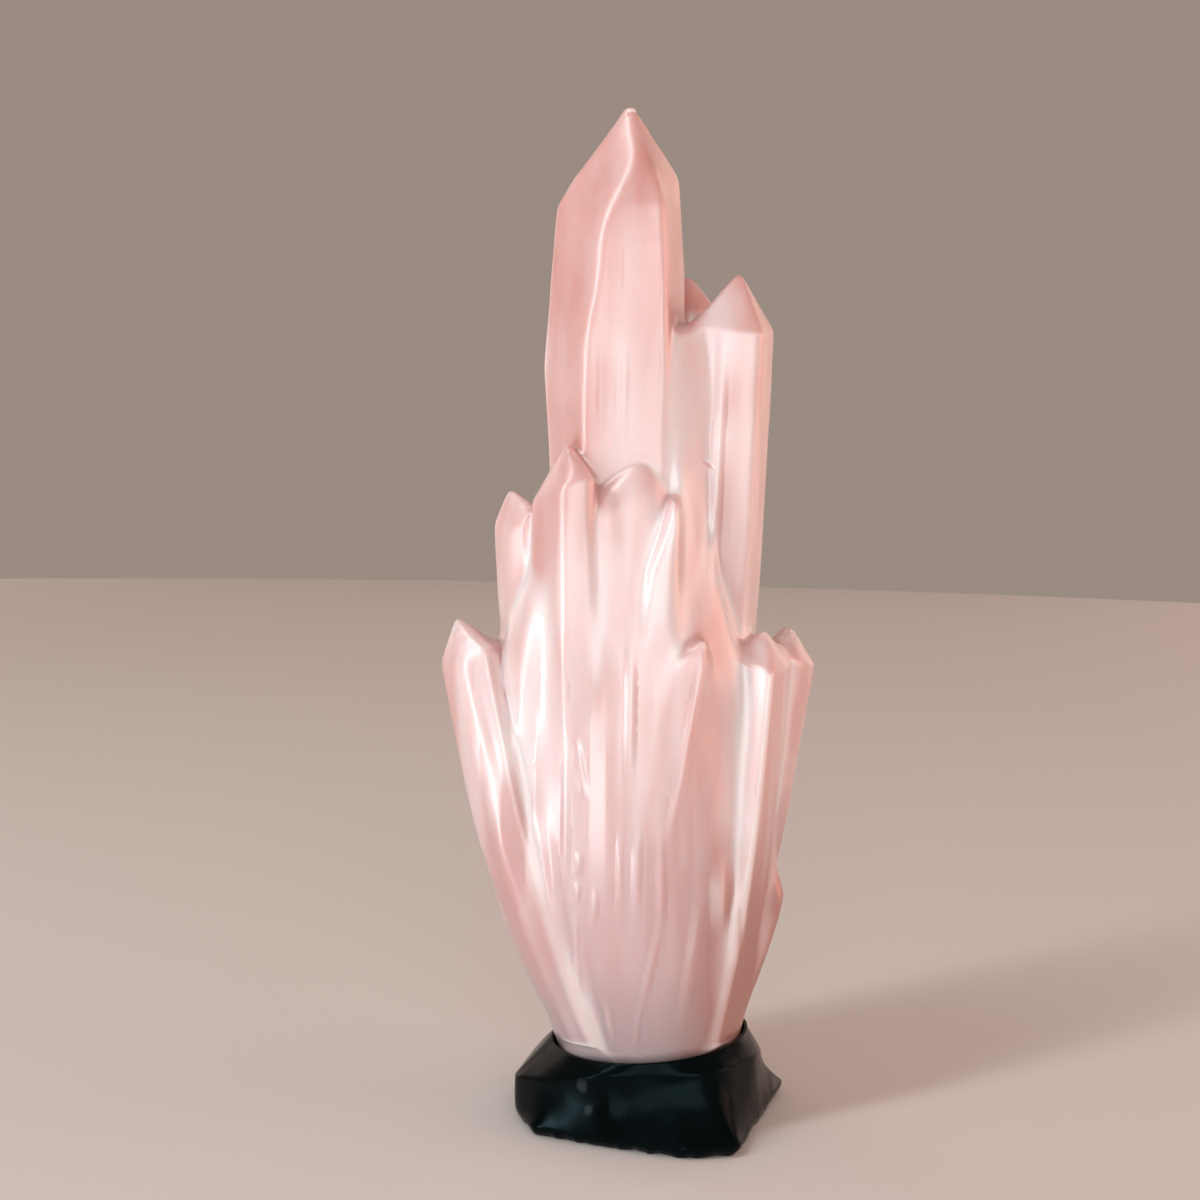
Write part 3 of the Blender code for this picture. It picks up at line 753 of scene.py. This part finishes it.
# The block: counter-clockwise from its left corner, the foot on the table and the brow
# where the walls turn in to the rim
block = {
    "foot": [(-40, -9), (-34, -25), (-14, -33), (11, -40), (26, -37), (35, -10), (44, 17),
             (31, 35), (5, 42), (-20, 38), (-38, 19)],
    "brow": [(-41, -7, 11.5), (-31, -21, 15), (-15, -29.5, 20.4), (14, -30.5, 21.6), (22, -27, 22),
             (33, -9, 20), (36.5, 14, 15), (27, 27, 16.5), (4, 34, 17.5), (-18, 30, 16.5), (-33.5, 16, 14)],
    "footHardness": 60,   # how sharp its corners are there
    "browHardness": 30,
    "footSize": 0.995,
    # rows up from the table: inset, share of the broken edge, height, lift by the rough and fine noise
    "footRows": [(1.0, 1.0, 0.0, 0.0, 0.0), (0.4, 1.0, 0.25, 0.0, 0.0), (0.25, 0.5, 1.2, 0.0, 0.3),
                 (0.1, 0.0, 2.2, 0.5, 0.0), (0.0, 0.0, 3.4, 0.0, 0.0)],
    "rough": (0.9, 9),   # the broken lower edge: depth, and how many bumps to a radius
    "fine": (0.5, 24),
    "wallRows": 26,
    "flare": 1.8,   # how much of the walls' spread is near the foot
    "shoulderRows": 9,
    "shoulderRise": 0.9,   # below 1, the shoulder is a little domed
    "rimRadius": 29.6,
    "rimHeight": 24.2,
    "rimRise": 2.6,   # how much higher it is on the right
    "lip": [(0.35, 0.25), (0.2, 0.2)],   # its outer and inner edge: how far in from each, and how high
    "pocketTop": 0.4,   # how far under the rim the pocket's wall starts
    "pocketRows": (0.0, 0.35, 0.7, 1.0),
    "floor": 8.0,
    "clearance": 0.4,
    "turns": 480,
    "brush": (0.5, 14.0),   # brushed unevenness: depth and size
    "fineBrush": (0.2, 6.0),
    "brushFrom": 4.0,   # it sets in up to this height
    "brushTo": (26.0, 5.0),   # and dies away at this one, over this much
    "sharp": 50,   # degrees
}


def rayLength(corners, turns, hardness):
    # how far a ray goes to a polygon's sides, with soft corners:
    # (sum of (cos of the angle to each side's normal / its distance)^hardness)^(-1/hardness)
    total = 0
    for a, b in zip(corners, np.roll(corners, -1, 0)):
        out = outward(a, b)
        toward = np.maximum(out[0] * np.cos(turns) + out[1] * np.sin(turns), 0)
        total = total + (toward / (out @ a)) ** hardness
    return total ** (-1 / hardness)


def blockRows(b, around):
    # rings from the table up the walls, over the rim and down the pocket: radius and height all round
    turns = np.arctan2(around[:, 1], around[:, 0])
    corners = np.array(b["brow"], float)
    brow = rayLength(corners[:, :2], turns, b["browHardness"])
    foot = rayLength(np.array(b["foot"], float), turns, b["footHardness"]) * b["footSize"]
    cornerTurns = np.arctan2(corners[:, 1], corners[:, 0])
    order = np.argsort(cornerTurns)
    browHeight = np.interp(turns, cornerTurns[order], corners[order, 2], period=math.tau)
    rim = b["rimRadius"] + 0 * turns
    rimHeight = b["rimHeight"] + b["rimRise"] * around[:, 0]
    (deep, bumps), (fineDeep, fineBumps) = b["rough"], b["fine"]
    rough = noise(around[:, 0] * bumps, around[:, 1] * bumps, 0 * turns, seeds["foot"])
    fine = noise(around[:, 0] * fineBumps, around[:, 1] * fineBumps, 0 * turns, seeds["fineFoot"])
    broken = deep * (1 + rough) + fineDeep * (1 + fine)
    rows = [(foot - inset - part * broken, height + byRough * rough + byFine * fine)
            for inset, part, height, byRough, byFine in b["footRows"]]
    wallFoot = b["footRows"][-1][2]
    for i in range(1, b["wallRows"]):
        t = i / b["wallRows"]
        rows.append((brow + (foot - brow) * (1 - t) ** b["flare"], wallFoot + (browHeight - wallFoot) * t))
    for t in np.linspace(0, 1, b["shoulderRows"]):
        rise = t ** b["shoulderRise"]
        rows.append((brow + (rim - brow) * t, browHeight + (rimHeight - browHeight) * rise))
    (outerIn, outerUp), (innerOut, innerUp) = b["lip"]
    rows.append((rim - outerIn, rimHeight + outerUp))
    rows.append((coreSize(rimHeight)[0] + b["clearance"] + innerOut, rimHeight + innerUp))
    top = rimHeight - b["pocketTop"]
    for t in b["pocketRows"]:
        height = top + (b["floor"] - top) * t
        rows.append((coreSize(height)[0] + b["clearance"], height))
    return rows


def makeBlock(b):
    # the rings moved in by the brushed unevenness, joined, and closed by a fan at each end
    turns = np.linspace(0, math.tau, b["turns"], endpoint=False)
    around = np.column_stack([np.cos(turns), np.sin(turns)])
    rows = blockRows(b, around)
    grid = np.array([np.column_stack([radius[:, None] * around, height]) for radius, height in rows])
    x, y, z = np.moveaxis(grid, -1, 0)
    (deep, size), (fineDeep, fineSize) = b["brush"], b["fineBrush"]
    wave = deep * noise(x / size, y / size, z / size, seeds["brush"])
    wave = wave + fineDeep * noise(x / fineSize, y / fineSize, z / fineSize, seeds["fineBrush"])
    last, fade = b["brushTo"]
    wave = wave * smooth(z / b["brushFrom"]) * smooth((last - z) / fade)
    wave[-1 - len(b["pocketRows"]):] = 0   # the pocket and the lip's inner edge stay true
    grid[..., :2] *= (1 - wave / np.hypot(x, y))[..., None]
    n = len(turns)
    verts = np.concatenate([grid.reshape(-1, 3), [(0, 0, 0), (0, 0, b["floor"])]])
    row, col = np.meshgrid(np.arange(len(rows) - 1), np.arange(n), indexing="ij")
    after = (col + 1) % n
    quads = np.stack([row * n + col, row * n + after, (row + 1) * n + after, (row + 1) * n + col], -1)
    ring = np.arange(n)
    bottom = np.column_stack([ring, np.full(n, len(verts) - 2), (ring + 1) % n])
    inner = (len(rows) - 1) * n + ring
    floor = np.column_stack([inner, np.roll(inner, -1), np.full(n, len(verts) - 1)])
    faces = quads.reshape(-1, 4).tolist() + bottom.tolist() + floor.tolist()
    mesh = writeMesh("lacqueredBlock", verts, faces)
    mesh.set_sharp_from_angle(angle=math.radians(b["sharp"]))
    return addObject("lacqueredBlock", mesh)


lacquered = makeBlock(block)
print("block made")


def newMaterial(name):
    material = bpy.data.materials.new(name)
    material.use_nodes = True
    material.node_tree.nodes.clear()
    return material, material.node_tree


def ramp(tree, value, start, end, low=0.0, high=1.0, ease="LINEAR"):
    # low to high while the value goes from start to end
    return addNode(tree, "MapRange", {0: value, 1: start, 2: end, 3: low, 4: high},
                   interpolation_type=ease).outputs[0]


def blend(tree, mask, first, hexColour):
    # first * (1 - mask) + colour * mask
    return addNode(tree, "Mix", {0: mask, 6: first, 7: linear(hexColour)}, data_type="RGBA").outputs[2]


def pattern(tree, place, size, **inputs):
    # noise whose largest features are size millimetres across
    inputs = {"Vector": place, "Scale": 1 / (size * mm), **inputs}
    return addNode(tree, "TexNoise", inputs).outputs[0]


def distanceFrom(tree, place, x, y, z):
    # from a place in millimetres
    return addNode(tree, "VectorMath", {0: place, 1: (x * mm, y * mm, z * mm)},
                   operation="DISTANCE").outputs["Value"]


# Milky rose quartz, grown and left with its natural faces under a satin polish: light sinks
# several millimetres in, so shadows fill with pink. Its ridges are painted white, for wear and as a
# highlight, and painted shade darkens its crevices, some side faces, its low right and its foot. A ramp
# is where it starts and ends, then from what share to what share; heights in ramps are metres, as in the
# shader
rose = {
    "milk": "#E5B5AF",
    # a deeper pink, for the veils and for painted shade in some patches
    "blush": "#D99C94",
    "deep": "#CB776B",
    # deeper rose, for streaks, for painted shade in the crevices and a patch of painted shade on the
    # tallest point's right face
    "lilac": "#CDA9AE",
    "neck": "#A99C9F",   # painted shade: greyer where the root goes into the block
    "lowRightShade": "#A85A45",   # painted shade low on the right
    # white along the ridges: wear, and a painted highlight
    "worn": "#FAF0F0",
    "cloud": "#F1DDDE",   # the whiter streaks inside, and painted light in the lighter patches
    "upright": 0.3,   # veils and patches are taller than wide by one over this
    "veils": dict(size=16.0, Detail=4.0, Roughness=0.55, Distortion=0.6),
    "veilRamp": (0.35, 0.68),
    "milkyRamp": (0.25, 0.16, 0.0, 0.4),   # milkier from here down
    "streaks": dict(size=8.0, Detail=1.5, Distortion=0.3),
    "streakUpright": 0.1,
    "streakRamp": (0.2, 0.15, 0.3, 1.0),   # and more streaked
    # streaks of a colour: shift of the pattern, where it starts and is full, share
    "streakColours": [("cloud", 0.0, 0.42, 0.62, 0.8), ("deep", 0.3, 0.54, 0.7, 0.14)],
    # painted light and shade in soft patches: cloud ones brighten the valley, a cap and front faces as if
    # lit, with a painted highlight on a small facet, and blush and deep ones darken side faces as shade.
    # Each is colour, share of it, x, y, height, radius
    "paintedLightAndShade": [
        ("cloud", 0.9, 6, -16, 205, 14), ("cloud", 0.9, 15, -9, 243, 11), ("cloud", 0.6, -11, -18, 200, 12),
        ("cloud", 0.8, 0, -24, 178, 7), ("cloud", 0.4, 2, -29, 150, 9), ("blush", 0.7, -36, -17, 172, 9),
        ("blush", 0.6, -63, -8, 118, 9), ("blush", 0.9, -38, -20, 62, 19), ("deep", 0.4, 5, -8, 262, 9),
    ],
    "patchHeart": 0.2,   # share of the radius within which a patch is full
    # lilac-grey from here down: the stone's lilac tint, with painted shade as it darkens low down
    "lilacRamp": (0.12, 0.024, 0.0, 0.85),
    "neckRamp": (0.052, 0.026, 0.0, 0.75),
    "lowRightShadeAcross": (0.004, 0.024, 0.0, 0.85),   # along x
    "lowRightShadeBelow": (0.11, 0.055),
    # painted shade: the deep colour in crevices
    "creviceShadeRamp": (0.08, 0.8, 0.0, 0.6),
    # white ridges: wear, and a painted highlight
    "wornHighlightRamp": (0.06, 0.3, 0.0, 0.8),
    "rubbedRamp": (0.05, 0.3, 0.27, 0.16),   # roughness: satin faces, and ridges polished by hands
    "pits": dict(size=1.8, Detail=3.0),
    "pitBump": (0.12, 0.4),   # strength, and depth in millimetres
    "scatter": 5.0,   # millimetres that red light goes in
    "scatterColours": (1.0, 0.5, 0.42),
}


def roseQuartz(c):
    material, tree = newMaterial("milkyRoseQuartzPolished")
    place = addNode(tree, "TexCoord").outputs["Object"]
    tall, long = [addNode(tree, "Mapping", {"Vector": place, "Scale": (1, 1, c[name])}).outputs[0]
                  for name in ("upright", "streakUpright")]
    axes = addNode(tree, "SeparateXYZ", {0: place})
    across, height = axes.outputs["X"], axes.outputs["Z"]
    veils = ramp(tree, pattern(tree, tall, **c["veils"]), *c["veilRamp"])
    body = blend(tree, veils, linear(c["milk"]), c["blush"])
    body = blend(tree, ramp(tree, height, *c["milkyRamp"]), body, c["cloud"])
    grown = ramp(tree, height, *c["streakRamp"])
    for name, shift, start, end, most in c["streakColours"]:
        moved = addNode(tree, "VectorMath", {0: long, 1: (shift, 0, 0)}).outputs[0]
        mask = ramp(tree, pattern(tree, moved, **c["streaks"]), start, end, 0.0, most)
        mask = addNode(tree, "Math", {0: mask, 1: grown}, operation="MULTIPLY").outputs[0]
        body = blend(tree, mask, body, c[name])
    # painted light and shade, one patch after another
    for name, most, x, y, z, radius in c["paintedLightAndShade"]:
        away = distanceFrom(tree, tall, x, y, c["upright"] * z)
        mask = ramp(tree, away, radius * mm, c["patchHeart"] * radius * mm, 0.0, most, "SMOOTHSTEP")
        body = blend(tree, mask, body, c[name])
    # painted shade: lilac-grey, then greyer still, towards the block
    body = blend(tree, ramp(tree, height, *c["lilacRamp"]), body, c["lilac"])
    body = blend(tree, ramp(tree, height, *c["neckRamp"]), body, c["neck"])
    # painted shade low on the right
    right = ramp(tree, across, *c["lowRightShadeAcross"], "SMOOTHSTEP")
    below = ramp(tree, height, *c["lowRightShadeBelow"], ease="SMOOTHSTEP")
    shadedLowRight = addNode(tree, "Math", {0: right, 1: below}, operation="MULTIPLY").outputs[0]
    body = blend(tree, shadedLowRight, body, c["lowRightShade"])
    creviceShade, edge = [addNode(tree, "Attribute", attribute_name=name).outputs["Fac"]
                     for name in ("creviceShade", "edge")]
    # painted shade in the crevices, then the ridges whitened for wear and as a painted highlight
    body = blend(tree, ramp(tree, creviceShade, *c["creviceShadeRamp"]), body, c["deep"])
    body = blend(tree, ramp(tree, edge, *c["wornHighlightRamp"]), body, c["worn"])
    strength, deep = c["pitBump"]
    pits = pattern(tree, tall, **c["pits"])
    bump = addNode(tree, "Bump", {"Height": pits, "Strength": strength, "Distance": deep * mm}).outputs[0]
    shader = addNode(tree, "BsdfPrincipled", {
        "Base Color": body, "Roughness": ramp(tree, edge, *c["rubbedRamp"]), "IOR": 1.544, "Normal": bump,
        "Subsurface Weight": 1.0, "Subsurface Radius": c["scatterColours"],
        "Subsurface Scale": c["scatter"] * mm, "Coat Weight": 1.0, "Coat Roughness": 0.4, "Coat IOR": 2.1,
    })
    addNode(tree, "OutputMaterial", {"Surface": shader.outputs[0]})
    return material


# Black lacquer brushed thick over carved wood: a deep wet gloss with a slow ripple
lacquer = {
    "black": "#020303",
    "sheenTint": "#060D0F",
    "ripple": dict(size=9.0, Detail=2.0),
    "rippleBump": (0.3, 0.6),   # strength, and depth in millimetres
    "glossRamp": (0.3, 0.7, 0.16, 0.3),   # over the ripple, from this roughness to this
    "speck": "#4A5056",   # where the lacquer is scuffed dull
    "specks": [(-19.6, -27.1, 16.4, 1.6), (-17.7, -29.0, 10.1, 1.2)],   # x, y, height, radius
    "speckShare": 0.38,
    "scuff": 1.5,   # size of the uneven outline of a speck
    "scuffDepth": 1.6,   # and how far in it goes
    "scuffFade": (1.4, 0.2),   # added to the radius: where a speck starts and is full
}


def blackLacquer(c):
    material, tree = newMaterial("blackLacquerBrushedThick")
    place = addNode(tree, "TexCoord").outputs["Object"]
    ripple = pattern(tree, place, **c["ripple"])
    colour = blend(tree, ripple, linear(c["black"]), c["sheenTint"])
    scuff = pattern(tree, place, c["scuff"])
    start, full = c["scuffFade"]
    for x, y, z, radius in c["specks"]:
        away = distanceFrom(tree, place, x, y, z)
        spread = addNode(tree, "Math", {0: scuff, 1: c["scuffDepth"] * mm, 2: away},
                         operation="MULTIPLY_ADD").outputs[0]
        mask = ramp(tree, spread, (radius + start) * mm, (radius + full) * mm, 0.0, c["speckShare"])
        colour = blend(tree, mask, colour, c["speck"])
    strength, deep = c["rippleBump"]
    bump = addNode(tree, "Bump", {"Height": ripple, "Strength": strength, "Distance": deep * mm}).outputs[0]
    shader = addNode(tree, "BsdfPrincipled", {
        "Base Color": colour, "Roughness": ramp(tree, ripple, *c["glossRamp"]), "IOR": 1.5, "Normal": bump,
        "Specular IOR Level": 0.08, "Specular Tint": (0.5, 0.9, 1.0, 1.0),
    })
    addNode(tree, "OutputMaterial", {"Surface": shader.outputs[0]})
    return material


quartz.data.materials.clear()
quartz.data.materials.append(roseQuartz(rose))
lacquered.data.materials.append(blackLacquer(lacquer))

for piece, node, slotName in ((quartz, "crystal_cluster", "milky_rose_quartz"),
                              (lacquered, "stand", "black_lacquer")):
    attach(piece, "root")
    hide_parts(node)
print("materials set")


# A pale round table in an even pale room. Sizes here are metres
studio = {
    "floor": "#EFEBE7",
    "floorRoughness": 0.6,
    "floorRadius": 2.6,
    "floorCorners": 96,
    "room": "#D3BFB3",
    "roomStrength": 0.5,
    "aimHeight": 0.15,   # the middle of the stone
}

# A broad soft window behind the camera; a thin strip to the front left, whose reflection is the white
# line down each ridge, and one lying low that carries it on below the horizon; a warm fill from the
# right, and two weak rims from behind. azimuth 0 is the camera's side, positive to its right
lights = [
    # name, azimuth, elevation, distance, width, height, power, colour, and the elevation it lies along
    ("window", 3, 7, 3.0, 2.1, 2.3, 35, (0.93, 0.98, 1.0)),
    ("leftStrip", -54, 27, 1.6, 0.15, 2.6, 15, (0.95, 0.97, 1.0)),
    ("lowStrip", -54, -6.5, 1.0, 0.1, 1.3, 3.6, (0.95, 0.97, 1.0), -87),
    ("rightFill", 85, 14, 3.0, 2.3, 2.2, 31, (1.0, 0.49, 0.38)),
    ("rimRight", 138, 12, 3.2, 1.3, 2.6, 11, (1.0, 0.7, 0.6)),
    ("rimLeft", -138, 12, 3.2, 1.3, 2.6, 9, (1.0, 0.76, 0.7)),
]


def makeFloor():
    mesh = bpy.data.meshes.new("floor")
    turns = np.linspace(0, math.tau, studio["floorCorners"], endpoint=False)
    ring = studio["floorRadius"] * np.column_stack([np.cos(turns), np.sin(turns), 0 * turns])
    mesh.from_pydata(ring.tolist(), [], [list(range(len(ring)))])
    floor = addObject("floor", mesh)
    material, tree = newMaterial("paleTable")
    values = {"Base Color": linear(studio["floor"]), "Roughness": studio["floorRoughness"]}
    shader = addNode(tree, "BsdfPrincipled", values)
    addNode(tree, "OutputMaterial", {"Surface": shader.outputs[0]})
    mesh.materials.append(material)


def makeLight(name, azimuth, elevation, distance, wide, tall, power, colour, facing=None):
    # an area light that faces the middle of the stone, or lies as if it came from the elevation facing
    data = bpy.data.lights.new(name, "AREA")
    data.shape = "RECTANGLE"
    data.size, data.size_y = wide, tall
    data.energy = power
    data.color = colour
    a = math.radians(azimuth)
    angles = (elevation, elevation if facing is None else facing)
    toward, back = [Vector((math.sin(a) * math.cos(e), -math.cos(a) * math.cos(e), math.sin(e)))
                    for e in map(math.radians, angles)]
    light = addObject(name, data)
    light.visible_camera = False
    light.location = toward * distance + Vector((0, 0, studio["aimHeight"]))
    light.rotation_euler = back.to_track_quat("Z", "Y").to_euler()


def makeRoom():
    world = bpy.data.worlds.new("room")
    bpy.context.scene.world = world
    world.use_nodes = True
    back = world.node_tree.nodes["Background"]
    back.inputs["Color"].default_value = linear(studio["room"])
    back.inputs["Strength"].default_value = studio["roomStrength"]


makeFloor()
makeRoom()
for light in lights:
    makeLight(*light)
bpy.context.scene.view_settings.view_transform = "Standard"
print("studio lit")
